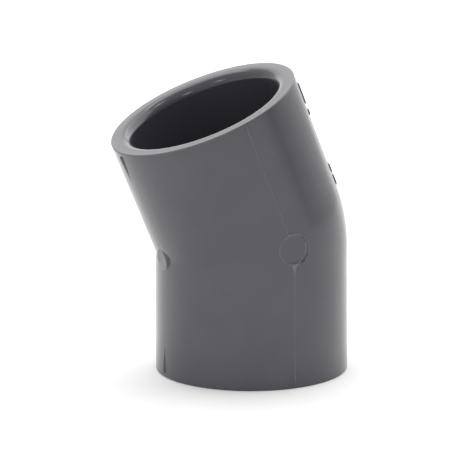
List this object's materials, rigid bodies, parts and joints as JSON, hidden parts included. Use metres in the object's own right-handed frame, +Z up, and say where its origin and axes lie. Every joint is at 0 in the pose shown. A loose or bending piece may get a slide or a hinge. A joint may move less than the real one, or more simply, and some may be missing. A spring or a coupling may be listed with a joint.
{
  "type": "pipe elbow fitting",
  "caption": "Grey rigid PVC 22.5 degree elbow with equal tapered sockets for solvent-cemented 1 1/2 inch pipe and a pipe stop at the foot of each socket.",
  "frame": {"origin": "middle of the lower mouth's plane under the whole fitting: the centre of the bounding box's lowest face", "axes": "+Z up along the lower socket's axis, away from its mouth; the bend lies in the XZ plane and the upper socket leans 22.5 degrees towards -X; +Y across the bend"},
  "size_m": [0.0766, 0.0624, 0.0971],
  "materials": {
    "pvc_grey": "satin, moulded, slightly glossy at a low angle"
  },
  "bodies": {
    "root": {"lower_socket": "pvc_grey", "bend_body": "pvc_grey", "upper_socket": "pvc_grey"}
  },
  "joints": []
}
